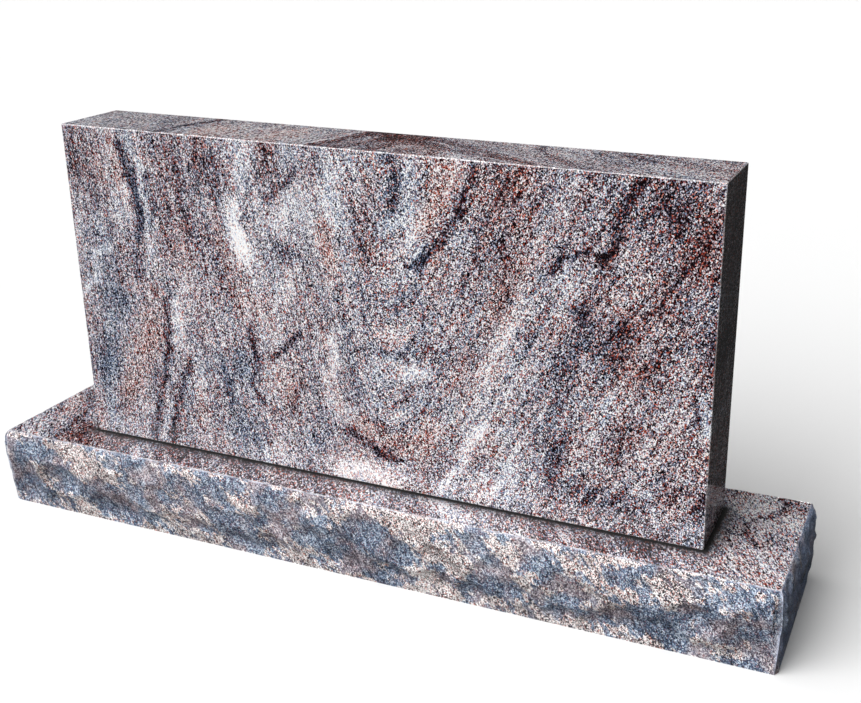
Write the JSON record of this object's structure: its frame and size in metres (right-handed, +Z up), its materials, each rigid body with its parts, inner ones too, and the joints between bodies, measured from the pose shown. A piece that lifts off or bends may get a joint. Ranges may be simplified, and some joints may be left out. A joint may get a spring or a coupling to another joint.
{
  "type": "granite headstone",
  "caption": "Upright headstone: a polished rectangular granite tablet standing on a low, wide base with a polished top and rock-faced sides.",
  "frame": {"origin": "middle of the base's underside, below the middle of its polished top", "axes": "+X along the base, to the right of someone facing the front; the front faces -Y; +Z up"},
  "size_m": [1.5594, 0.336, 0.7623],
  "materials": {
    "polished_granite": "polished",
    "rock_faced_granite": "polished top, split and chiselled sides"
  },
  "bodies": {
    "root": {"die": "polished_granite", "base": "rock_faced_granite"}
  },
  "joints": []
}
